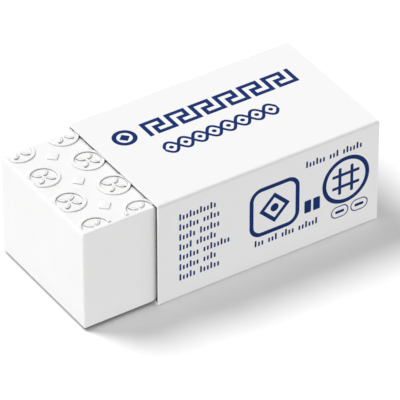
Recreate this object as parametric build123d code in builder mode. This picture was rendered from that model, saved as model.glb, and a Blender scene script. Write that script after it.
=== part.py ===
"""Vinyl eraser in a card sleeve, in millimetres.

A soft vinyl block stands out of a folded card sleeve at its working end. The sleeve is one strip of
card, wrapped round the block and glued to itself up the back. It grips the block by friction, so
the block can be pushed along it as the working end wears down.

+X runs along the block, away from the working end, and +Z is up. The origin is under the middle of
the whole eraser, on the surface that it lies on.
"""

import os

from build123d import *

# Block
block_length = 35.5
block_width = 16.0
block_height = 12.0
block_edge_radius = 0.2

# Raised pattern on the block's top: rings round four leaves, with a lozenge between each four rings
relief_height = 0.15
relief_pitch_x = 5.3
relief_pitch_y = 5.0
relief_margin = 0.25
ring_radius = 1.75
ring_wall = 0.32
leaf_length = 1.05
leaf_width = 0.46
leaf_center_radius = 0.74
lozenge_radius = 0.75

# Card
card_thickness = 0.28
inner_fold_radius = 0.16
exposed_length = 8.6
card_overhang = 0.3
flap_fold_gap = 0.12
lap_fold_gap = 0.06

# Room between the block and the card, which the block rests on
front_clearance = 0.36
back_clearance = 0.05
top_clearance = 0.03

# Overall sizes that follow
overall_length = block_length + card_overhang
sleeve_length = overall_length - exposed_length
cavity_width = front_clearance + block_width + back_clearance
cavity_height = block_height + relief_height + top_clearance
sleeve_width = cavity_width + 3 * card_thickness
sleeve_height = cavity_height + 2 * card_thickness
outer_fold_radius = inner_fold_radius + card_thickness

# Places along X
working_end_x = -overall_length / 2
block_center_x = working_end_x + block_length / 2
mouth_x = working_end_x + exposed_length

# Places along Y, from the front panel to the two layers of card at the back
front_y = -sleeve_width / 2
cavity_front_y = front_y + card_thickness
block_center_y = cavity_front_y + front_clearance + block_width / 2
flap_front_y = cavity_front_y + cavity_width
flap_back_y = flap_front_y + card_thickness
back_y = flap_back_y + card_thickness

# Places along Z: the glue flap stops short of the top fold, and the free edge of the bottom one
cavity_floor_z = card_thickness
cavity_roof_z = cavity_floor_z + cavity_height
flap_end_z = cavity_roof_z - inner_fold_radius - flap_fold_gap
lap_edge_z = outer_fold_radius + lap_fold_gap
block_top_z = cavity_floor_z + block_height

os.makedirs("parts", exist_ok=True)


# One leaf of the raised pattern, and a ring round four leaves, each drawn about its own middle
with BuildSketch() as leaf:
    with BuildLine():
        long_edge = ThreePointArc((-leaf_length / 2, 0), (0, leaf_width / 2), (leaf_length / 2, 0))
        mirror(long_edge, about=Plane.XZ)
    make_face()

with BuildSketch() as ring_of_leaves:
    Circle(ring_radius)
    Circle(ring_radius - ring_wall, mode=Mode.SUBTRACT)
    with PolarLocations(leaf_center_radius, 4, start_angle=45):
        add(leaf.sketch)


# Block: a bar with softened edges, with the raised pattern all over the flat of its top
flat_length = block_length - 2 * (block_edge_radius + relief_margin)
flat_width = block_width - 2 * (block_edge_radius + relief_margin)
ring_columns = 2 * int(block_length / 2 / relief_pitch_x) + 1
ring_rows = 2 * round(block_width / 2 / relief_pitch_y)

with BuildPart() as eraser_block:
    with BuildSketch(Plane.XY.offset(cavity_floor_z)):
        with Locations((block_center_x, block_center_y)):
            Rectangle(block_length, block_width)
    extrude(amount=block_height)
    fillet(eraser_block.edges(), radius=block_edge_radius)

    with BuildSketch(Plane.XY.offset(block_top_z)):
        with Locations((block_center_x, block_center_y)):
            with GridLocations(relief_pitch_x, relief_pitch_y, ring_columns, ring_rows):
                add(ring_of_leaves.sketch)
            with GridLocations(relief_pitch_x, relief_pitch_y, ring_columns - 1, ring_rows - 1):
                RegularPolygon(lozenge_radius, 4)
            Rectangle(flat_length, flat_width, mode=Mode.INTERSECT)
    extrude(amount=relief_height)

eraser_block.part.label = "eraser_block"
export_step(eraser_block.part, "parts/eraser_block.step")


# Sleeve: one strip of card, seen from its open end. From its glue flap, which stands inside the back
# on the bottom fold, it runs along the bottom, up the front, over the top and down the outside of
# the flap, to a free edge just above the bottom.
with BuildPart() as card_sleeve:
    with BuildSketch(Plane.YZ.offset(mouth_x)):
        with BuildLine():
            Polyline(
                (front_y, 0),
                (flap_back_y, 0),
                (flap_back_y, lap_edge_z),
                (back_y, lap_edge_z),
                (back_y, sleeve_height),
                (front_y, sleeve_height),
                close=True,
            )
        outline = make_face()
        folds = [
            (front_y, 0),
            (flap_back_y, 0),
            (back_y, sleeve_height),
            (front_y, sleeve_height),
        ]
        fillet([outline.vertices().sort_by_distance(fold)[0] for fold in folds], outer_fold_radius)
    extrude(amount=sleeve_length)

    with BuildSketch(Plane.YZ.offset(mouth_x)):
        with BuildLine():
            Polyline(
                (cavity_front_y, cavity_floor_z),
                (flap_front_y, cavity_floor_z),
                (flap_front_y, flap_end_z),
                (flap_back_y, flap_end_z),
                (flap_back_y, cavity_roof_z),
                (cavity_front_y, cavity_roof_z),
                close=True,
            )
        hollow = make_face()
        folds = [
            (cavity_front_y, cavity_floor_z),
            (flap_front_y, cavity_floor_z),
            (flap_back_y, cavity_roof_z),
            (cavity_front_y, cavity_roof_z),
        ]
        fillet([hollow.vertices().sort_by_distance(fold)[0] for fold in folds], inner_fold_radius)
    extrude(amount=sleeve_length, mode=Mode.SUBTRACT)

card_sleeve.part.label = "card_sleeve"
export_step(card_sleeve.part, "parts/card_sleeve.step")
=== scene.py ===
"""Looks of a white vinyl eraser in a folded and printed card sleeve.

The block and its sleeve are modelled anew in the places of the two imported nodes: the block with
soft edges and a raised pattern on its top, and the sleeve as one creased strip of card whose cut
edges and unprinted inside show. The print is plain ornament, drawn by the card's own material.
"""

import logging
import math
from collections.abc import Callable, Iterable, Iterator
from contextlib import contextmanager
from dataclasses import dataclass, field
from enum import Enum

import bmesh
import bpy
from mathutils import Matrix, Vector


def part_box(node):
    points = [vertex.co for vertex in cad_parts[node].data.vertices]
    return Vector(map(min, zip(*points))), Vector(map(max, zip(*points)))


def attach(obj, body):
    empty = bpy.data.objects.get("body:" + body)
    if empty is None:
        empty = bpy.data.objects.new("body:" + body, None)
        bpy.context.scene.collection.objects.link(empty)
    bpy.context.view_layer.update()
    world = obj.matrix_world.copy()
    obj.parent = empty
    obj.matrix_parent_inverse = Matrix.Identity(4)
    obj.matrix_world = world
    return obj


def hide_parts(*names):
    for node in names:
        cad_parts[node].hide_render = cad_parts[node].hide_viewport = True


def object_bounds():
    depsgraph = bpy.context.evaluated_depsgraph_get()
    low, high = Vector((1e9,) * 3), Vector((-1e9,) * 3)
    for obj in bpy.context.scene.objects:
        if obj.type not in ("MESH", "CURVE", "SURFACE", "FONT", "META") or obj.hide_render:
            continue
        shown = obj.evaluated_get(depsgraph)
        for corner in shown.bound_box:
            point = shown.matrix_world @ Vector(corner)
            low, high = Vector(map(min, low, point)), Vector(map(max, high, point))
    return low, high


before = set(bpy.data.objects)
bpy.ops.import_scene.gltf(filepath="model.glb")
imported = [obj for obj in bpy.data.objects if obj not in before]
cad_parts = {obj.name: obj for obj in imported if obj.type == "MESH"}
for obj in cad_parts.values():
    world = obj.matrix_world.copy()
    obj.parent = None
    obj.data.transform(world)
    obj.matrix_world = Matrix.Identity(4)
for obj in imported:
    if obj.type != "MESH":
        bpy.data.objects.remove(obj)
CAD_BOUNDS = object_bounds()

log = logging.getLogger("eraser")

MM = 0.001
SNAP = 1e-7  # in metres: heights closer than this are the same
FLAT = 0.99  # the least part of a unit normal along an axis on a face that counts as square to it

Socket = bpy.types.NodeSocket
Value = float | Socket


# ---------------------------------------------------------------------------------------------
# Modelling helpers
# ---------------------------------------------------------------------------------------------


def deselect_all() -> None:
    """Clear the selection, so that an operator acts only on what is chosen after it."""
    bpy.ops.object.select_all(action="DESELECT")


def choose(*pieces: bpy.types.Object) -> None:
    """Select the given pieces only, with the first one active."""
    deselect_all()
    for piece in pieces:
        piece.select_set(True)
    bpy.context.view_layer.objects.active = pieces[0]


@contextmanager
def editing(piece: bpy.types.Object) -> Iterator[bmesh.types.BMesh]:
    """Open a piece in edit mode with nothing selected.

    Args:
        piece: The mesh object to edit.

    Returns:
        The edit-mode mesh, in which faces and edges are selected in code.
    """
    choose(piece)
    bpy.ops.object.mode_set(mode="EDIT")
    bpy.ops.mesh.select_all(action="DESELECT")
    yield bmesh.from_edit_mesh(piece.data)
    bpy.ops.object.mode_set(mode="OBJECT")


def select_edges(piece: bpy.types.Object, mesh: bmesh.types.BMesh, wanted: Callable) -> None:
    """Select the edges that pass a test, in edge mode.

    Args:
        piece: The object being edited.
        mesh: Its edit-mode mesh.
        wanted: Takes an edge and says whether it is selected.
    """
    bpy.ops.mesh.select_mode(type="EDGE")
    for edge in mesh.edges:
        edge.select = wanted(edge)
    mesh.select_flush_mode()
    bmesh.update_edit_mesh(piece.data)


def settle(piece: bpy.types.Object, name: str) -> bpy.types.Object:
    """Name a new primitive and move its place, turn and scale into its mesh."""
    piece.name = name
    piece.data.name = name
    choose(piece)
    bpy.ops.object.transform_apply(location=True, rotation=True, scale=True)
    return piece


def add_box(name: str, low: Vector, high: Vector) -> bpy.types.Object:
    """Add a box between two corners.

    Args:
        name: The object's name.
        low: The lowest corner.
        high: The highest corner.

    Returns:
        The box, with its place in its mesh.
    """
    deselect_all()
    bpy.ops.mesh.primitive_cube_add(size=1.0, location=(low + high) / 2, scale=high - low)
    return settle(bpy.context.object, name)


def add_post(name: str, centre: Vector, radius: float, depth: float, sides: int) -> bpy.types.Object:
    """Add an upright post with a flat top.

    Args:
        name: The object's name.
        centre: The post's middle.
        radius: From its axis to its corners.
        depth: Its height.
        sides: How many sides it has: four make a lozenge, and many a disc.

    Returns:
        The post, with its place in its mesh.
    """
    deselect_all()
    bpy.ops.mesh.primitive_cylinder_add(vertices=sides, radius=radius, depth=depth, location=centre)
    return settle(bpy.context.object, name)


def apply_modifier(piece: bpy.types.Object, kind: str, **settings: object) -> None:
    """Add a modifier to a piece, set it up and apply it.

    Args:
        piece: The mesh object.
        kind: The modifier's type, such as BEVEL.
        **settings: Its properties by name.
    """
    modifier = piece.modifiers.new(kind.lower(), kind)
    for name, value in settings.items():
        setattr(modifier, name, value)
    choose(piece)
    bpy.ops.object.modifier_apply(modifier=modifier.name)


def combine(piece: bpy.types.Object, other: bpy.types.Object, operation: str) -> None:
    """Join, cut or intersect a piece with another solid, which is used up."""
    apply_modifier(piece, "BOOLEAN", object=other, operation=operation, solver="EXACT")
    bpy.data.objects.remove(other)


def copy_to(piece: bpy.types.Object, name: str, shift: Vector, turn: float = 0.0) -> bpy.types.Object:
    """Copy a piece with a mesh of its own, turned about the upright axis and then moved.

    Args:
        piece: The piece to copy, modelled about the origin.
        name: The copy's name.
        shift: How far it moves.
        turn: How far it turns first, in radians.

    Returns:
        The copy, with its place in its mesh.
    """
    copy = piece.copy()
    copy.data = piece.data.copy()
    bpy.context.scene.collection.objects.link(copy)
    copy.location = shift
    copy.rotation_euler.z = turn
    return settle(copy, name)


def join(pieces: list[bpy.types.Object]) -> bpy.types.Object:
    """Join pieces into the first one."""
    choose(*pieces)
    bpy.ops.object.join()
    return bpy.context.object


def shade(piece: bpy.types.Object, angle: float = math.radians(35)) -> None:
    """Shade a piece smooth between sharp edges, with its broad faces kept flat to the light."""
    choose(piece)
    bpy.ops.object.shade_smooth_by_angle(angle=angle)
    apply_modifier(piece, "WEIGHTED_NORMAL", mode="FACE_AREA", weight=100, keep_sharp=True)


# ---------------------------------------------------------------------------------------------
# Shader helpers
# ---------------------------------------------------------------------------------------------


@dataclass
class NodeSheet:
    """Adds nodes to a tree, each set up and wired as it is made.

    Attributes:
        tree: The node tree of a material, a world or a group.
    """

    tree: bpy.types.NodeTree

    def add(
        self, kind: str, inputs: dict[str | int, object] | None = None, **settings: object
    ) -> bpy.types.Node:
        """Add a node.

        Args:
            kind: The node's type.
            inputs: Its inputs by name or number: a socket is linked, and anything else is set.
            **settings: Its properties by name.

        Returns:
            The node.
        """
        node = self.tree.nodes.new(kind)
        for name, value in settings.items():
            setattr(node, name, value)
        for name, value in (inputs or {}).items():
            self.feed(node.inputs[name], value)
        return node

    def feed(self, target: Socket, value: object) -> None:
        """Link a socket to an input, or set the input to a plain value."""
        if isinstance(value, bpy.types.NodeSocket):
            self.tree.links.new(value, target)
        else:
            target.default_value = value

    def maths(self, operation: str, *values: Value, clamp: bool = False) -> Socket:
        """Add a Math node and return its result."""
        inputs = dict(enumerate(values))
        return self.add("ShaderNodeMath", inputs, operation=operation, use_clamp=clamp).outputs[0]

    def ramp(self, value: Value, low: Value, high: Value, start: float, end: float) -> Socket:
        """Map a value from one range to another, held at both ends."""
        inputs = {"Value": value, "From Min": low, "From Max": high, "To Min": start, "To Max": end}
        return self.add("ShaderNodeMapRange", inputs, clamp=True).outputs[0]

    def mix(self, share: Value, first: object, second: object) -> Socket:
        """Mix two colours by a share of the second."""
        node = self.add("ShaderNodeMix", data_type="RGBA")
        for socket, value in ((node.inputs[0], share), (node.inputs[6], first), (node.inputs[7], second)):
            self.feed(socket, value)
        return node.outputs[2]

    def toned(self, colour: object, tone: Value) -> Socket:
        """Multiply a colour by a tone."""
        grey = self.add("ShaderNodeCombineColor", dict.fromkeys(range(3), tone)).outputs[0]
        node = self.add("ShaderNodeMix", data_type="RGBA", blend_type="MULTIPLY")
        for socket, value in ((node.inputs[0], 1.0), (node.inputs[6], colour), (node.inputs[7], grey)):
            self.feed(socket, value)
        return node.outputs[2]

    def noise(self, position: Socket, size: float, detail: float = 2.0, seed: float = 0.0) -> Socket:
        """Add noise on a position in millimetres.

        Args:
            position: Where on the piece, in millimetres.
            size: The width of its blotches in millimetres.
            detail: How many finer layers it has.
            seed: Picks another field of the same kind.

        Returns:
            The noise, from about 0.2 to 0.8.
        """
        inputs = {"Vector": position, "W": seed, "Scale": 1 / size, "Detail": detail}
        return self.add("ShaderNodeTexNoise", inputs, noise_dimensions="4D").outputs[0]


@dataclass
class GroupSheet(NodeSheet):
    """A node group while it is being made.

    Attributes:
        start: The node whose outputs are the group's inputs.
        end: The node whose inputs are the group's outputs.
    """

    start: bpy.types.Node
    end: bpy.types.Node

    @classmethod
    def new(cls, name: str, inputs: dict[str, float | str], outputs: dict[str, str]) -> "GroupSheet":
        """Begin a node group.

        Args:
            name: The group's name.
            inputs: Its inputs by name, each with its default number or its socket type.
            outputs: Its outputs by name, each with its socket type.

        Returns:
            The sheet to add its nodes to.
        """
        tree = bpy.data.node_groups.new(name, "ShaderNodeTree")
        for label, default in inputs.items():
            kind = default if isinstance(default, str) else "NodeSocketFloat"
            socket = tree.interface.new_socket(label, in_out="INPUT", socket_type=kind)
            if not isinstance(default, str):
                socket.default_value = default
        for label, kind in outputs.items():
            tree.interface.new_socket(label, in_out="OUTPUT", socket_type=kind)
        return cls(tree, tree.nodes.new("NodeGroupInput"), tree.nodes.new("NodeGroupOutput"))


def place_group(sheet: NodeSheet, tree: bpy.types.NodeTree, inputs: dict[str, object]) -> bpy.types.Node:
    """Place a node group in a material or in another group."""
    node = sheet.add("ShaderNodeGroup")
    node.node_tree = tree
    for label, value in inputs.items():
        sheet.feed(node.inputs[label], value)
    return node


def printed_shape_group() -> bpy.types.NodeTree:
    """Make the group that draws one printed shape: a bar, a disc, a ring, a frame or a lozenge.

    Returns:
        A group with a mask that is 1 on the shape. All of its sizes are in millimetres.
    """
    sizes = ("Centre U", "Centre V", "Half Length", "Half Height", "Rounding", "Stroke", "Turn")
    inputs = {"U": 0.0, "V": 0.0} | dict.fromkeys(sizes, 0.0) | {"Softness": 0.02}
    sheet = GroupSheet.new("printed_shape", inputs, {"Mask": "NodeSocketFloat"})
    given = sheet.start.outputs
    m = sheet.maths
    u, v = m("SUBTRACT", given["U"], given["Centre U"]), m("SUBTRACT", given["V"], given["Centre V"])
    sine, cosine = m("SINE", given["Turn"]), m("COSINE", given["Turn"])
    along = m("ADD", m("MULTIPLY", u, cosine), m("MULTIPLY", v, sine))
    across = m("SUBTRACT", m("MULTIPLY", v, cosine), m("MULTIPLY", u, sine))
    past = []
    for place, half in ((along, given["Half Length"]), (across, given["Half Height"])):
        past.append(m("SUBTRACT", m("ABSOLUTE", place), m("SUBTRACT", half, given["Rounding"])))
    outside = [m("MAXIMUM", distance, 0.0) for distance in past]
    corner = m("SQRT", m("ADD", m("POWER", outside[0], 2.0), m("POWER", outside[1], 2.0)))
    inside = m("MINIMUM", m("MAXIMUM", *past), 0.0)
    border = m("SUBTRACT", m("ADD", corner, inside), given["Rounding"])
    half_stroke = m("MULTIPLY", given["Stroke"], 0.5)
    distance = m("SUBTRACT", m("ABSOLUTE", m("ADD", border, half_stroke)), half_stroke)
    share = m("DIVIDE", distance, given["Softness"])
    sheet.feed(sheet.end.inputs["Mask"], m("SUBTRACT", 0.5, share, clamp=True))
    return sheet.tree


def paper_grain_group() -> bpy.types.NodeTree:
    """Make the group for the fibres of card: a faint cloudiness and a fine, uneven surface.

    Returns:
        A group with a tone to multiply a colour by and a height in millimetres.
    """
    inputs = {"Position": "NodeSocketVector", "Cloudiness": 0.02, "Roughness": 1.0}
    sheet = GroupSheet.new("paper_grain", inputs, {"Tone": "NodeSocketFloat", "Height": "NodeSocketFloat"})
    given = sheet.start.outputs
    position = given["Position"]
    clouds = sheet.noise(position, 2.6, detail=3.0)
    flecks = sheet.noise(position, 0.16, detail=2.0, seed=4.0)
    broad, fine = sheet.maths("MULTIPLY", clouds, 0.6), sheet.maths("MULTIPLY", flecks, 0.4)
    shade_share = sheet.maths("ADD", broad, fine)
    depth = sheet.maths("MULTIPLY", sheet.maths("SUBTRACT", 1.0, shade_share), given["Cloudiness"])
    sheet.feed(sheet.end.inputs["Tone"], sheet.maths("SUBTRACT", 1.0, depth))
    stretch = sheet.add("ShaderNodeMapping", {"Vector": position, "Scale": (0.35, 1.0, 1.0)}).outputs[0]
    fibres = sheet.noise(stretch, 0.09, detail=4.0, seed=9.0)
    waves = sheet.noise(position, 1.4, detail=2.0, seed=13.0)
    height = sheet.maths("ADD", sheet.maths("MULTIPLY", fibres, 0.4), waves)
    sheet.feed(sheet.end.inputs["Height"], sheet.maths("MULTIPLY", height, given["Roughness"]))
    return sheet.tree


def painted_edge_highlight_group() -> bpy.types.NodeTree:
    """Make the group that finds a piece's creases and edges, where a painted highlight makes them lighter.

    Returns:
        A group with a mask that is 1 where the surface turns within the given width.
    """
    inputs = {"Width": 0.1, "Strength": 1.0}
    sheet = GroupSheet.new("worn_edge", inputs, {"Mask": "NodeSocketFloat"})
    given = sheet.start.outputs
    radius = sheet.maths("MULTIPLY", given["Width"], MM)
    rounded = sheet.add("ShaderNodeBevel", {"Radius": radius}, samples=8).outputs[0]
    true = sheet.add("ShaderNodeNewGeometry").outputs["Normal"]
    dot = sheet.add("ShaderNodeVectorMath", {0: rounded, 1: true}, operation="DOT_PRODUCT").outputs["Value"]
    turned = sheet.ramp(dot, 0.995, 0.85, 0.0, 1.0)
    sheet.feed(sheet.end.inputs["Mask"], sheet.maths("MULTIPLY", turned, given["Strength"], clamp=True))
    return sheet.tree


def recess_shade_group() -> bpy.types.NodeTree:
    """Make the group that paints shade into narrow recesses, where little light comes out.

    Returns:
        A group with a painted-shade tone to multiply a colour by, lowest where the surface is hemmed in.
    """
    inputs = {"Reach": 0.5, "Depth": 0.5, "Closed": 0.35, "Open": 0.6}
    sheet = GroupSheet.new("recess_shade", inputs, {"Tone": "NodeSocketFloat"})
    given = sheet.start.outputs
    reach = sheet.maths("MULTIPLY", given["Reach"], MM)
    openness = sheet.add("ShaderNodeAmbientOcclusion", {"Distance": reach}, samples=8).outputs["AO"]
    hemmed_in = sheet.ramp(openness, given["Closed"], given["Open"], 1.0, 0.0)
    darkening = sheet.maths("MULTIPLY", hemmed_in, given["Depth"])
    sheet.feed(sheet.end.inputs["Tone"], sheet.maths("SUBTRACT", 1.0, darkening))
    return sheet.tree


def position_in_mm(sheet: NodeSheet) -> Socket:
    """Give the place on the piece in millimetres, in the frame that all pieces share."""
    coordinates = sheet.add("ShaderNodeTexCoord").outputs["Object"]
    scale = (1 / MM, 1 / MM, 1 / MM)
    return sheet.add("ShaderNodeMapping", {"Vector": coordinates, "Scale": scale}).outputs[0]


# ---------------------------------------------------------------------------------------------
# Print
# ---------------------------------------------------------------------------------------------


@dataclass(frozen=True)
class PrintedShape:
    """One printed shape on a flat panel, in millimetres from the panel's corner.

    Attributes:
        u: Its centre, along the sleeve from the mouth.
        v: Its centre, up the panel.
        length: Its size along its own length.
        height: Its size across.
        rounding: The radius of its corners.
        stroke: The width of its line. A wide stroke fills it.
        turn: How far it is turned, in radians.
    """

    u: float
    v: float
    length: float
    height: float
    rounding: float = 0.0
    stroke: float = 100.0
    turn: float = 0.0

    def mask(self, sheet: NodeSheet, group: bpy.types.NodeTree, u: Socket, v: Socket) -> Socket:
        """Draw the shape.

        Args:
            sheet: Where the nodes go.
            group: The printed_shape group.
            u: The place along the panel in millimetres.
            v: The place up the panel in millimetres.

        Returns:
            A mask that is 1 on the shape.
        """
        inputs = {
            "U": u,
            "V": v,
            "Centre U": self.u,
            "Centre V": self.v,
            "Half Length": self.length / 2,
            "Half Height": self.height / 2,
            "Rounding": self.rounding,
            "Stroke": self.stroke,
            "Turn": self.turn,
        }
        return place_group(sheet, group, inputs).outputs["Mask"]


def disc(u: float, v: float, radius: float, stroke: float = 100.0) -> PrintedShape:
    """A disc, or with a narrow stroke a ring."""
    return PrintedShape(u, v, 2 * radius, 2 * radius, radius, stroke)


def lozenge(u: float, v: float, side: float, stroke: float = 100.0) -> PrintedShape:
    """A square standing on one corner, filled or outlined."""
    return PrintedShape(u, v, side, side, 0.08, stroke, math.radians(45))


def union(sheet: NodeSheet, masks: Iterable[Socket]) -> Socket:
    """Join masks into one that is 1 wherever any of them is."""
    masks = list(masks)
    joined = masks[0]
    for mask in masks[1:]:
        joined = sheet.maths("MAXIMUM", joined, mask)
    return joined


@dataclass(frozen=True)
class KeyBand:
    """A band of key meander, drawn on a grid of square cells five cells high.

    Attributes:
        u: Where the band starts.
        v: Its lower edge.
        cell: The width of its line, and of the gaps.
        units: How many times the key repeats.
    """

    u: float
    v: float
    cell: float
    units: int

    unit_cells = 6
    height_cells = 5

    def mask(self, sheet: NodeSheet, group: bpy.types.NodeTree, u: Socket, v: Socket) -> Socket:
        """Draw the band. The arguments are those of PrintedShape.mask."""
        m = sheet.maths
        pitch = self.unit_cells * self.cell
        folded = m("FLOORED_MODULO", m("SUBTRACT", u, self.u), pitch)
        raised = m("SUBTRACT", v, self.v)
        # Each run of the key's line, as its first and last cell along and up the unit
        runs = ((0, 0, 0, 4), (0, 4, 4, 4), (4, 4, 2, 4), (2, 4, 2, 2), (2, 2, 0, 2), (2, 6, 0, 0))
        strokes = []
        for first_u, last_u, first_v, last_v in runs:
            length = (last_u - first_u + 1) * self.cell
            height = (last_v - first_v + 1) * self.cell
            centre_u = first_u * self.cell + length / 2
            centre_v = first_v * self.cell + height / 2
            stroke = PrintedShape(centre_u, centre_v, length, height)
            strokes.append(stroke.mask(sheet, group, folded, raised))
        band_length = self.units * pitch + self.cell
        band_height = self.height_cells * self.cell
        band = PrintedShape(self.u + band_length / 2, self.v + band_height / 2, band_length, band_height)
        return m("MULTIPLY", union(sheet, strokes), band.mask(sheet, group, u, v))


@dataclass(frozen=True)
class PlaitBand:
    """Two fine waves plaited about a centre line, with a dot in each loop.

    Attributes:
        u: Where the band starts.
        v: Its centre line.
        rise: How far the waves rise above it.
        loop: The length of a loop.
        loops: How many loops there are.
        stroke: The width of the lines.
        dot_radius: The radius of the dots.
    """

    u: float
    v: float
    rise: float
    loop: float
    loops: int
    stroke: float
    dot_radius: float

    def mask(self, sheet: NodeSheet, group: bpy.types.NodeTree, u: Socket, v: Socket) -> Socket:
        """Draw the band. The arguments are those of PrintedShape.mask."""
        m = sheet.maths
        along, up = m("SUBTRACT", u, self.u), m("SUBTRACT", v, self.v)
        phase = m("MULTIPLY", along, math.pi / self.loop)
        wave = m("MULTIPLY", m("SINE", phase), self.rise)
        slope = m("MULTIPLY", m("COSINE", phase), self.rise * math.pi / self.loop)
        steepness = m("SQRT", m("ADD", m("POWER", slope, 2.0), 1.0))
        gap = m("ABSOLUTE", m("SUBTRACT", m("ABSOLUTE", up), m("ABSOLUTE", wave)))
        distance = m("DIVIDE", gap, steepness)
        edge = self.stroke / 2
        lines = sheet.ramp(distance, edge - 0.01, edge + 0.01, 1.0, 0.0)
        folded = m("FLOORED_MODULO", along, self.loop)
        dots = disc(self.loop / 2, 0.0, self.dot_radius).mask(sheet, group, folded, up)
        length = self.loops * self.loop
        band = PrintedShape(self.u + length / 2, self.v, length, 4 * self.rise)
        return m("MULTIPLY", m("MAXIMUM", lines, dots), band.mask(sheet, group, u, v))


@dataclass(frozen=True)
class BeadRow:
    """A row of fine beads in a few runs, at the scale of small print.

    Attributes:
        u: Where the row starts.
        v: Its centre line.
        runs: How many beads each run has. One bead is missing between runs.
        height: The height of a bead.
        tall: The height of every third bead.
        pitch: From one bead to the next.
        bead: The length of a bead.
    """

    u: float
    v: float
    runs: tuple[int, ...]
    height: float = 0.56
    tall: float = 0.82
    pitch: float = 0.42
    bead: float = 0.23

    def mask(self, sheet: NodeSheet, group: bpy.types.NodeTree, u: Socket, v: Socket) -> Socket:
        """Draw the row. The arguments are those of PrintedShape.mask."""
        start = self.u - self.bead
        bars = []
        for beads in self.runs:
            length = beads * self.pitch
            bars.append(PrintedShape(start + length / 2, self.v, length, 2 * self.height))
            start += length + self.pitch
        along = sheet.maths("SUBTRACT", u, self.u - self.bead)
        masks = []
        for repeat, height in ((1, self.height), (3, self.tall)):
            folded = sheet.maths("FLOORED_MODULO", along, repeat * self.pitch)
            bead = PrintedShape(self.pitch / 2, self.v + (height - self.height) / 2, self.bead, height, 0.08)
            masks.append(bead.mask(sheet, group, folded, v))
        spread = union(sheet, [bar.mask(sheet, group, u, v) for bar in bars])
        return sheet.maths("MULTIPLY", spread, union(sheet, masks))


TOP_PRINT = (
    disc(3.5, 11.9, 1.35, 0.5),
    lozenge(3.5, 11.9, 0.9),
    KeyBand(u=5.9, v=10.6, cell=0.5, units=6),
    PlaitBand(u=5.8, v=7.9, rise=0.9, loop=1.75, loops=8, stroke=0.36, dot_radius=0.26),
)

SMALL_PRINT_RUNS = ((11,), (6, 5), (5, 6), (4, 6), (6, 8), (6, 4), (5, 6))
SMALL_PRINT_TOP = 10.2
SMALL_PRINT_LEADING = 1.28
SMALL_PRINT_ROWS = tuple(
    BeadRow(u=2.65, v=SMALL_PRINT_TOP - row * SMALL_PRINT_LEADING, runs=runs)
    for row, runs in enumerate(SMALL_PRINT_RUNS)
)

FRONT_PRINT = SMALL_PRINT_ROWS + (
    # A rounded frame round a lozenge
    PrintedShape(14.2, 6.9, 6.2, 6.2, 1.5, 0.5),
    lozenge(14.2, 6.9, 2.7, 0.45),
    disc(14.2, 6.9, 0.5),
    # Two small blocks beside it
    PrintedShape(18.35, 5.3, 0.85, 1.6, 0.15),
    PrintedShape(19.45, 5.3, 0.85, 1.6, 0.15),
    # A ring round a lattice
    disc(23.1, 6.9, 2.95, 0.5),
    PrintedShape(22.35, 6.9, 0.38, 3.4, 0.1),
    PrintedShape(23.85, 6.9, 0.38, 3.4, 0.1),
    PrintedShape(23.1, 7.65, 3.4, 0.38, 0.1),
    PrintedShape(23.1, 6.15, 3.4, 0.38, 0.1),
    # Two ovals, each with a dash in it
    PrintedShape(22.4, 3.0, 2.2, 1.5, 0.75, 0.13),
    PrintedShape(22.4, 3.0, 1.1, 0.36, 0.1),
    PrintedShape(24.85, 3.0, 2.2, 1.5, 0.75, 0.13),
    PrintedShape(24.85, 3.0, 1.1, 0.36, 0.1),
    BeadRow(u=18.2, v=10.6, runs=(6, 3, 6)),
    BeadRow(u=11.9, v=2.95, runs=(3, 3, 4, 6)),
)


# ---------------------------------------------------------------------------------------------
# Finishes
# ---------------------------------------------------------------------------------------------


class CardSide(Enum):
    """The kinds of surface that the folded card shows. Each value is its material's name."""

    PLAIN = "coated_card"
    TOP = "coated_card_top"
    FRONT = "coated_card_front"
    INSIDE = "uncoated_card"
    CUT = "cut_card"


# The order of the sleeve's material slots: the inside and the cut edges are found by their offset
CARD_SLOTS = (CardSide.PLAIN, CardSide.INSIDE, CardSide.CUT, CardSide.TOP, CardSide.FRONT)


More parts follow.
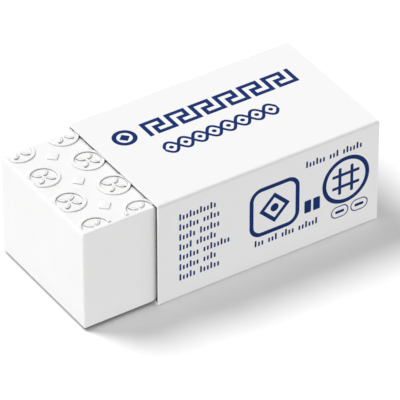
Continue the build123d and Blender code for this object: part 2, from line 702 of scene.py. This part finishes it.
@dataclass(frozen=True)
class CardFinish:
    """White folding card, coated and printed on its outside only.

    Attributes:
        white: The coated side's colour.
        board: The uncoated side's colour.
        cut: The colour of the cut edges.
        highlight_white: The painted highlight's colour, on the coated side along its creases and edges.
        ink: The print's colour.
        coated_roughness: The roughness of the coated side.
        board_roughness: The roughness of the uncoated side.
        ink_roughness: The roughness of the print.
        gloss: How strongly the card shines.
    """

    white: tuple[float, ...] = (0.93, 0.93, 0.93, 1.0)
    board: tuple[float, ...] = (0.72, 0.71, 0.69, 1.0)
    cut: tuple[float, ...] = (0.99, 0.99, 0.98, 1.0)
    highlight_white: tuple[float, ...] = (1.0, 1.0, 1.0, 1.0)
    ink: tuple[float, ...] = (0.001, 0.024, 0.15, 1.0)
    coated_roughness: float = 0.42
    board_roughness: float = 0.85
    ink_roughness: float = 0.34
    gloss: float = 0.03

    def material(
        self,
        side: CardSide,
        art: tuple = (),
        origin: tuple[float, float] = (0.0, 0.0),
        up: str = "Y",
    ) -> bpy.types.Material:
        """Make the material of one side of the card.

        Args:
            side: Which side.
            art: The print on it.
            origin: The corner of the panel that the print is placed from, in millimetres.
            up: The axis that runs up the panel.

        Returns:
            The material.
        """
        coated = side not in (CardSide.INSIDE, CardSide.CUT)
        material = bpy.data.materials.new(side.value)
        material.use_nodes = True
        sheet = NodeSheet(material.node_tree)
        sheet.tree.nodes.clear()
        position = position_in_mm(sheet)
        grain_inputs = {"Position": position, "Cloudiness": 0.02 if coated else 0.05}
        grain = place_group(sheet, GROUPS["paper_grain"], grain_inputs)
        bare = self.cut if side is CardSide.CUT else self.board
        colour = sheet.toned(self.white if coated else bare, grain.outputs["Tone"])
        shader_inputs: dict[str, object] = {"Specular IOR Level": self.gloss}
        if art:
            ink = self.ink_mask(sheet, position, art, origin, up)
            colour = sheet.mix(ink, colour, self.ink)
            shader_inputs["Roughness"] = sheet.ramp(ink, 0.0, 1.0, self.coated_roughness, self.ink_roughness)
        else:
            shader_inputs["Roughness"] = self.coated_roughness if coated else self.board_roughness
        if coated:
            # Painted highlight: the creases and edges are mixed towards white.
            edge = place_group(sheet, GROUPS["worn_edge"], {"Width": 0.14, "Strength": 0.9}).outputs["Mask"]
            colour = sheet.mix(edge, colour, self.highlight_white)
        bump_inputs = {"Height": grain.outputs["Height"], "Distance": 0.004 * MM if coated else 0.03 * MM}
        bump = sheet.add("ShaderNodeBump", bump_inputs | {"Strength": 1.0})
        shader_inputs |= {"Base Color": colour, "Normal": bump.outputs[0]}
        shader = sheet.add("ShaderNodeBsdfPrincipled", shader_inputs)
        sheet.add("ShaderNodeOutputMaterial", {"Surface": shader.outputs[0]})
        return material

    def ink_mask(
        self, sheet: NodeSheet, position: Socket, art: tuple, origin: tuple[float, float], up: str
    ) -> Socket:
        """Draw the print on one panel, with the small unevenness of a printed solid.

        Args:
            sheet: The material's nodes.
            position: The place on the piece in millimetres.
            art: The shapes and bands to print.
            origin: The panel's corner in millimetres.
            up: The axis that runs up the panel.

        Returns:
            How much ink there is, from 0 to 1.
        """
        split = sheet.add("ShaderNodeSeparateXYZ", {0: position}).outputs
        u = sheet.maths("SUBTRACT", split["X"], origin[0])
        v = sheet.maths("SUBTRACT", split[up], origin[1])
        drawn = union(sheet, [item.mask(sheet, GROUPS["printed_shape"], u, v) for item in art])
        density = sheet.ramp(sheet.noise(position, 0.22, detail=3.0, seed=21.0), 0.3, 0.7, 0.985, 1.0)
        return sheet.maths("MULTIPLY", drawn, density)


@dataclass(frozen=True)
class VinylFinish:
    """Soft white vinyl, matte, with a faintly uneven moulded surface.

    Attributes:
        white: Its colour.
        highlight_white: The painted highlight's colour on its edges.
        roughness: Its roughness.
        depth_of_light: How far light spreads inside it.
        light_within: The share of the light that does so.
    """

    white: tuple[float, ...] = (0.93, 0.93, 0.925, 1.0)
    highlight_white: tuple[float, ...] = (1.0, 1.0, 1.0, 1.0)
    roughness: float = 0.5
    depth_of_light: float = 0.35 * MM
    light_within: float = 0.4

    def material(self) -> bpy.types.Material:
        """Make the vinyl's material."""
        material = bpy.data.materials.new("white_vinyl")
        material.use_nodes = True
        sheet = NodeSheet(material.node_tree)
        sheet.tree.nodes.clear()
        position = position_in_mm(sheet)
        cloud = sheet.noise(position, 3.2, detail=4.0, seed=2.0)
        grit = sheet.noise(position, 0.12, detail=3.0, seed=6.0)
        tone = sheet.ramp(cloud, 0.3, 0.7, 0.985, 1.0)
        # Painted highlight: the soft edges are mixed towards white.
        edge = place_group(sheet, GROUPS["worn_edge"], {"Width": 0.16, "Strength": 1.0}).outputs["Mask"]
        # Painted shade: the colour darkens where the surface is hemmed in, as in the gap at the sleeve's
        # mouth.
        hemmed_in = {"Reach": 0.9, "Depth": 0.97, "Closed": 0.42, "Open": 0.58}
        recess_shade = place_group(sheet, GROUPS["recess_shade"], hemmed_in).outputs["Tone"]
        highlighted = sheet.mix(edge, sheet.toned(self.white, tone), self.highlight_white)
        height = sheet.maths("ADD", sheet.maths("MULTIPLY", grit, 0.25), cloud)
        bump = sheet.add("ShaderNodeBump", {"Height": height, "Distance": 0.02 * MM, "Strength": 1.0})
        rough = sheet.ramp(grit, 0.3, 0.7, self.roughness - 0.05, self.roughness + 0.05)
        inputs = {
            "Base Color": sheet.toned(highlighted, recess_shade),
            "Roughness": rough,
            "Normal": bump.outputs[0],
            "Subsurface Weight": self.light_within,
            "Subsurface Radius": (1.0, 1.0, 0.9),
            "Subsurface Scale": self.depth_of_light,
        }
        shader = sheet.add("ShaderNodeBsdfPrincipled", inputs)
        sheet.add("ShaderNodeOutputMaterial", {"Surface": shader.outputs[0]})
        return material


# ---------------------------------------------------------------------------------------------
# Block
# ---------------------------------------------------------------------------------------------


@dataclass(frozen=True)
class Relief:
    """The raised pattern on the block's top, in metres: rings of leaves with lozenges between.

    Attributes:
        height: How far it stands up.
        pitch_x: From ring to ring along the block.
        pitch_y: From ring to ring across it.
        margin: The bare border inside the soft edges.
        ring_radius: The ring's outer radius.
        ring_wall: The width of the ring's line.
        leaf_length: A leaf from tip to tip.
        leaf_width: A leaf at its widest.
        leaf_centre_radius: From the ring's centre to a leaf's.
        lozenge_radius: From a lozenge's centre to its corners.
        shoulder: The softness of the raised edges.
        root: How deep the shapes are sunk into the block before they are joined to it.
    """

    height: float = 0.15 * MM
    pitch_x: float = 5.3 * MM
    pitch_y: float = 5.0 * MM
    margin: float = 0.25 * MM
    ring_radius: float = 1.75 * MM
    ring_wall: float = 0.32 * MM
    leaf_length: float = 1.05 * MM
    leaf_width: float = 0.46 * MM
    leaf_centre_radius: float = 0.74 * MM
    lozenge_radius: float = 0.75 * MM
    shoulder: float = 0.04 * MM
    root: float = 0.2 * MM

    @property
    def depth(self) -> float:
        """The full height of a raised shape, with its sunken root."""
        return self.height + self.root

    def soften(self, shape: bpy.types.Object) -> bpy.types.Object:
        """Round off the upper edges of a raised shape that is modelled about the origin."""
        top = self.depth / 2
        with editing(shape) as mesh:
            select_edges(shape, mesh, lambda edge: all(abs(v.co.z - top) < SNAP for v in edge.verts))
            bpy.ops.mesh.bevel(offset=self.shoulder, offset_type="OFFSET", segments=3, affect="EDGES")
        return shape

    def leaf(self) -> bpy.types.Object:
        """Model one leaf: the overlap of two discs, along X."""
        radius = (self.leaf_length**2 + self.leaf_width**2) / (4 * self.leaf_width)
        shift = Vector((0, radius - self.leaf_width / 2, 0))
        shape = add_post("leaf", shift, radius, self.depth, 96)
        combine(shape, add_post("leaf_far_side", -shift, radius, self.depth * 2, 96), "INTERSECT")
        return self.soften(shape)

    def ring_of_leaves(self) -> bpy.types.Object:
        """Model one ring round four leaves."""
        ring = add_post("ring", Vector(), self.ring_radius, self.depth, 48)
        bore_radius = self.ring_radius - self.ring_wall
        combine(ring, add_post("bore", Vector(), bore_radius, self.depth * 2, 48), "DIFFERENCE")
        self.soften(ring)
        leaf = self.leaf()
        leaves = []
        for quarter in range(4):
            turn = math.radians(45 + 90 * quarter)
            shift = self.leaf_centre_radius * Vector((math.cos(turn), math.sin(turn), 0))
            leaves.append(copy_to(leaf, f"leaf_{quarter}", shift, turn))
        bpy.data.objects.remove(leaf)
        return join([ring, *leaves])

    def lozenge(self) -> bpy.types.Object:
        """Model one lozenge, with its corners along X and Y."""
        shape = add_post("lozenge", Vector(), self.lozenge_radius, self.depth, 4)
        return self.soften(shape)

    def spread(
        self, shape: bpy.types.Object, centre: Vector, columns: int, rows: int
    ) -> list[bpy.types.Object]:
        """Copy a shape over a grid and use it up.

        Args:
            shape: The shape, modelled about the origin.
            centre: The middle of the grid.
            columns: How many copies along the block.
            rows: How many across it.

        Returns:
            The copies.
        """
        copies = []
        for column in range(columns):
            for row in range(rows):
                along = (column - (columns - 1) / 2) * self.pitch_x
                across = (row - (rows - 1) / 2) * self.pitch_y
                name = f"{shape.name}_{column}_{row}"
                copies.append(copy_to(shape, name, centre + Vector((along, across, 0))))
        bpy.data.objects.remove(shape)
        return copies


@dataclass
class EraserBlock:
    """The vinyl block.

    Attributes:
        node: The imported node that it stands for.
        body: The body that it moves with.
        edge_radius: The softness of its edges.
        relief: The raised pattern on its top.
        finish: Its material.
    """

    node: str = "eraser_block"
    body: str = "eraser"
    edge_radius: float = 0.2 * MM
    relief: Relief = field(default_factory=Relief)
    finish: VinylFinish = field(default_factory=VinylFinish)

    def build(self) -> bpy.types.Object:
        """Model the block, dress it and set it in the frame.

        Returns:
            The finished block.
        """
        low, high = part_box(self.node)
        bar_high = high - Vector((0, 0, self.relief.height))
        block = self.bar(low, bar_high)
        combine(block, self.raised_pattern(low, bar_high), "UNION")
        shade(block)
        block.data.materials.clear()
        block.data.materials.append(self.finish.material())
        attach(block, self.body)
        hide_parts(self.node)
        return block

    def bar(self, low: Vector, high: Vector) -> bpy.types.Object:
        """Model the plain bar with soft edges between two corners."""
        bar = add_box("vinyl_block", low, high)
        with editing(bar):
            bpy.ops.mesh.select_all(action="SELECT")
            bpy.ops.mesh.bevel(offset=self.edge_radius, offset_type="OFFSET", segments=6, affect="EDGES")
        return bar

    def raised_pattern(self, low: Vector, high: Vector) -> bpy.types.Object:
        """Model the raised pattern, cut off square at the flat of the bar's top.

        Args:
            low: The bar's lowest corner.
            high: The bar's highest corner.

        Returns:
            The pattern, sunk a little into the bar.
        """
        relief = self.relief
        length, width = high.x - low.x, high.y - low.y
        columns = 2 * int(length / 2 / relief.pitch_x) + 1
        rows = 2 * round(width / 2 / relief.pitch_y)
        middle = (low + high) / 2
        centre = Vector((middle.x, middle.y, high.z + relief.height - relief.depth / 2))
        shapes = relief.spread(relief.ring_of_leaves(), centre, columns, rows)
        shapes += relief.spread(relief.lozenge(), centre, columns - 1, rows - 1)
        pattern = join(shapes)
        border = self.edge_radius + relief.margin
        inset = Vector((border, border, 0))
        reach = Vector((0, 0, 2 * relief.depth))
        flat_low = Vector((low.x, low.y, high.z)) + inset - reach
        flat = add_box("flat_of_top", flat_low, high - inset + reach)
        combine(pattern, flat, "INTERSECT")
        return pattern


# ---------------------------------------------------------------------------------------------
# Sleeve
# ---------------------------------------------------------------------------------------------


@dataclass
class CardSleeve:
    """The card sleeve: one strip, creased four times round the block and glued up its back.

    Attributes:
        node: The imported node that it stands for.
        body: The body that it moves with.
        thickness: The card's thickness.
        glue_line: The gap that the glue fills between the two layers at the back.
        fold_radius: The radius of a crease, at the middle of the card.
        flap_height: The height of the hidden glue flap, from the inside of the bottom.
        lap_rise: How far the free edge is above the bottom.
        cut_softness: The softness of the cut edges.
        finish: Its materials.
    """

    node: str = "card_sleeve"
    body: str = "sleeve"
    thickness: float = 0.28 * MM
    glue_line: float = 0.01 * MM
    fold_radius: float = 0.2 * MM
    flap_height: float = 11.9 * MM
    lap_rise: float = 0.5 * MM
    cut_softness: float = 0.03 * MM
    finish: CardFinish = field(default_factory=CardFinish)

    def build(self) -> bpy.types.Object:
        """Fold the sleeve, dress it and set it in the frame.

        Returns:
            The finished sleeve.
        """
        low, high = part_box(self.node)
        sleeve = self.folded_strip(low, high)
        self.dress(sleeve, high)
        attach(sleeve, self.body)
        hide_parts(self.node)
        return sleeve

    def folded_strip(self, low: Vector, high: Vector) -> bpy.types.Object:
        """Fold the strip from its glue flap round to its free edge, and give it its thickness.

        Args:
            low: The sleeve's lowest corner.
            high: The sleeve's highest corner.

        Returns:
            The closed shell of card.
        """
        half = self.thickness / 2
        front, back = low.y + half, high.y - half
        floor, roof = low.z + half, high.z - half
        flap = back - self.thickness
        flap_end = low.z + self.thickness + self.flap_height
        lap_edge = low.z + self.lap_rise
        steps = (
            Vector((0, front - flap, 0)),
            Vector((0, 0, roof - floor)),
            Vector((0, back - front, 0)),
            Vector((0, 0, lap_edge - roof)),
        )
        deselect_all()
        size = Vector((high.x - low.x, flap_end - floor, 0))
        middle = Vector(((low.x + high.x) / 2, flap, (flap_end + floor) / 2))
        bpy.ops.mesh.primitive_plane_add(size=1.0, location=middle, rotation=(math.radians(90), 0, 0))
        bpy.context.object.scale = (size.x, size.y, 1.0)
        sleeve = settle(bpy.context.object, "folded_card_sleeve")
        with editing(sleeve) as mesh:
            select_edges(sleeve, mesh, lambda edge: all(abs(v.co.z - floor) < SNAP for v in edge.verts))
            for step in steps:
                bpy.ops.mesh.extrude_edges_move(TRANSFORM_OT_translate={"value": step})
        with editing(sleeve) as mesh:
            select_edges(sleeve, mesh, lambda edge: len(edge.link_faces) == 2)
            bpy.ops.mesh.bevel(offset=self.fold_radius, offset_type="OFFSET", segments=6, affect="EDGES")
            bpy.ops.mesh.select_all(action="SELECT")
            bpy.ops.mesh.normals_make_consistent(inside=False)
        self.face_outwards(sleeve, (roof + floor) / 2)
        # The inside and the rim take the slots after the outside's, so the slots come first
        for side in self.sides(low):
            sleeve.data.materials.append(side)
        apply_modifier(
            sleeve,
            "SOLIDIFY",
            thickness=self.thickness - self.glue_line,
            offset=0.0,
            use_even_offset=True,
            material_offset=CARD_SLOTS.index(CardSide.INSIDE),
            material_offset_rim=CARD_SLOTS.index(CardSide.CUT),
        )
        return sleeve

    def face_outwards(self, sleeve: bpy.types.Object, middle: float) -> None:
        """Turn the open strip's faces so that its top faces up.

        Args:
            sleeve: The strip, before it has a thickness.
            middle: A height between its bottom and its top.
        """
        tops = [face for face in sleeve.data.polygons if abs(face.normal.z) > FLAT and face.center.z > middle]
        if tops[0].normal.z < 0:
            with editing(sleeve):
                bpy.ops.mesh.select_all(action="SELECT")
                bpy.ops.mesh.flip_normals()

    def sides(self, low: Vector) -> tuple[bpy.types.Material, ...]:
        """Make the card's materials: plain outside, inside, cut edge, printed top, printed front.

        Args:
            low: The sleeve's lowest corner.

        Returns:
            The materials in the order of their slots.
        """
        mouth, front = low.x / MM, low.y / MM
        prints = {
            CardSide.TOP: (TOP_PRINT, (mouth, front), "Y"),
            CardSide.FRONT: (FRONT_PRINT, (mouth, 0.0), "Z"),
        }
        return tuple(self.finish.material(side, *prints.get(side, ())) for side in CARD_SLOTS)

    def dress(self, sleeve: bpy.types.Object, high: Vector) -> None:
        """Give the printed panels their materials and soften the cut edges.

        Args:
            sleeve: The closed shell of card.
            high: The sleeve's highest corner.
        """
        plain = CARD_SLOTS.index(CardSide.PLAIN)
        for face in sleeve.data.polygons:
            if face.material_index != plain:
                continue
            if face.normal.z > FLAT and face.center.z > high.z - self.thickness / 2:
                face.material_index = CARD_SLOTS.index(CardSide.TOP)
            elif face.normal.y < -FLAT:
                face.material_index = CARD_SLOTS.index(CardSide.FRONT)
        apply_modifier(
            sleeve,
            "BEVEL",
            width=self.cut_softness,
            segments=2,
            limit_method="ANGLE",
            angle_limit=math.radians(60),
            harden_normals=False,
        )
        shade(sleeve)


# ---------------------------------------------------------------------------------------------
# Stage
# ---------------------------------------------------------------------------------------------


@dataclass(frozen=True)
class Studio:
    """The plain floor, the soft light and the camera.

    Attributes:
        floor_seen: The floor's colour to the camera, which sees the object's shadow on it.
        floor_bounce: How much light the floor gives back to the object.
        sky: The strength of the even light from all round.
        key: The strength of the soft lamp behind the left shoulder of the block.
        key_spread: The width of that lamp, as an angle.
        key_direction: Which way that lamp lies.
        fill: The strength of the wide low lamp in front and to the left.
        fill_spread: The width of that lamp, as an angle.
        fill_direction: Which way that lamp lies.
        azimuth: The camera's angle round the object, from the front towards the left.
        elevation: The camera's angle above the floor.
        distance: From the camera to its target.
        target: The target's offset from the middle of the object.
        lens: The camera's focal length in millimetres.
    """

    floor_seen: float = 1.03
    floor_bounce: float = 1.02
    sky: float = 0.4
    key: float = 2.2
    key_spread: float = math.radians(26)
    key_direction: tuple[float, float, float] = (-0.3, 0.46, 0.82)
    fill: float = 0.56
    fill_spread: float = math.radians(60)
    fill_direction: tuple[float, float, float] = (-0.83, -0.54, 0.15)
    azimuth: float = math.radians(-33.057)
    elevation: float = math.radians(36.775)
    distance: float = 503.97 * MM
    target: tuple[float, float, float] = (0.444 * MM, -1.375 * MM, -1.26 * MM)
    lens: float = 436.65

    def build(self) -> None:
        """Set up the floor, the light and the camera."""
        self.lay_floor()
        self.light_room()
        self.hang_lamp("key_lamp", self.key, self.key_spread, self.key_direction)
        self.hang_lamp("fill_lamp", self.fill, self.fill_spread, self.fill_direction)
        self.place_camera()

    def lay_floor(self) -> None:
        """Lay a wide white floor just under the object."""
        deselect_all()
        bpy.ops.mesh.primitive_plane_add(size=4.0, location=(0, 0, -0.01 * MM))
        floor = settle(bpy.context.object, "floor")
        material = bpy.data.materials.new("white_floor")
        material.use_nodes = True
        sheet = NodeSheet(material.node_tree)
        sheet.tree.nodes.clear()
        seen = sheet.add("ShaderNodeBsdfDiffuse", {"Color": (self.floor_seen,) * 3 + (1.0,)})
        # To other rays the floor glows: an emission stands in for its bounce light, dimmed near the object by
        # painted contact shade.
        contact_shade = place_group(sheet, GROUPS["recess_shade"], {"Reach": 2.0, "Depth": 0.9}).outputs["Tone"]
        strength = sheet.maths("MULTIPLY", contact_shade, self.floor_bounce)
        bounce = sheet.add("ShaderNodeEmission", {"Strength": strength})
        by_camera = sheet.add("ShaderNodeLightPath").outputs["Is Camera Ray"]
        surface = sheet.add("ShaderNodeMixShader", {0: by_camera, 1: bounce.outputs[0], 2: seen.outputs[0]})
        sheet.add("ShaderNodeOutputMaterial", {"Surface": surface.outputs[0]})
        floor.data.materials.append(material)

    def light_room(self) -> None:
        """Light the room evenly, with a white background for the camera and in reflections."""
        world = bpy.data.worlds.new("studio")
        world.use_nodes = True
        bpy.context.scene.world = world
        sheet = NodeSheet(world.node_tree)
        sheet.tree.nodes.clear()
        path = sheet.add("ShaderNodeLightPath").outputs
        seen = union(sheet, (path["Is Camera Ray"], path["Is Glossy Ray"], path["Is Transmission Ray"]))
        strength = sheet.ramp(seen, 0.0, 1.0, self.sky, 1.0)
        background = sheet.add("ShaderNodeBackground", {"Color": (1, 1, 1, 1), "Strength": strength})
        sheet.add("ShaderNodeOutputWorld", {"Surface": background.outputs[0]})

    def hang_lamp(self, name: str, strength: float, spread: float, direction: tuple[float, ...]) -> None:
        """Hang a soft lamp far away.

        Args:
            name: The lamp's name.
            strength: Its strength.
            spread: Its width, as an angle.
            direction: Which way it lies from the object.
        """
        lamp = bpy.data.lights.new(name, "SUN")
        lamp.energy = strength
        lamp.angle = spread
        holder = bpy.data.objects.new(name, lamp)
        holder.rotation_euler = Vector(direction).to_track_quat("Z", "Y").to_euler()
        bpy.context.scene.collection.objects.link(holder)

    def place_camera(self) -> None:
        """Aim the camera at the object."""
        low, high = (Vector(corner) for corner in CAD_BOUNDS)
        target = (low + high) / 2 + Vector(self.target)
        across = math.cos(self.elevation)
        back = Vector((
            math.sin(self.azimuth) * across,
            -math.cos(self.azimuth) * across,
            math.sin(self.elevation),
        ))
        lens = bpy.data.cameras.new("camera")
        lens.lens = self.lens
        lens.sensor_width = 36.0
        camera = bpy.data.objects.new("camera", lens)
        camera.location = target + back * self.distance
        camera.rotation_euler = back.to_track_quat("Z", "Y").to_euler()
        bpy.context.scene.collection.objects.link(camera)
        bpy.context.scene.camera = camera
        bpy.context.scene.view_settings.view_transform = "Standard"


GROUPS: dict[str, bpy.types.NodeTree] = {}


def report(piece: bpy.types.Object) -> None:
    """Log a finished piece's name and size."""
    faces = len(piece.data.polygons)
    size = ", ".join(f"{side / MM:.2f}" for side in piece.dimensions)
    log.info("%s: %d faces, %s mm", piece.name, faces, size)


def main() -> None:
    """Build the eraser and its studio."""
    logging.basicConfig(level=logging.INFO, format="%(name)s: %(message)s")
    GROUPS["printed_shape"] = printed_shape_group()
    GROUPS["paper_grain"] = paper_grain_group()
    GROUPS["worn_edge"] = painted_edge_highlight_group()
    GROUPS["recess_shade"] = recess_shade_group()
    for builder in (EraserBlock(), CardSleeve()):
        report(builder.build())
    Studio().build()


if __name__ == "__main__":
    main()
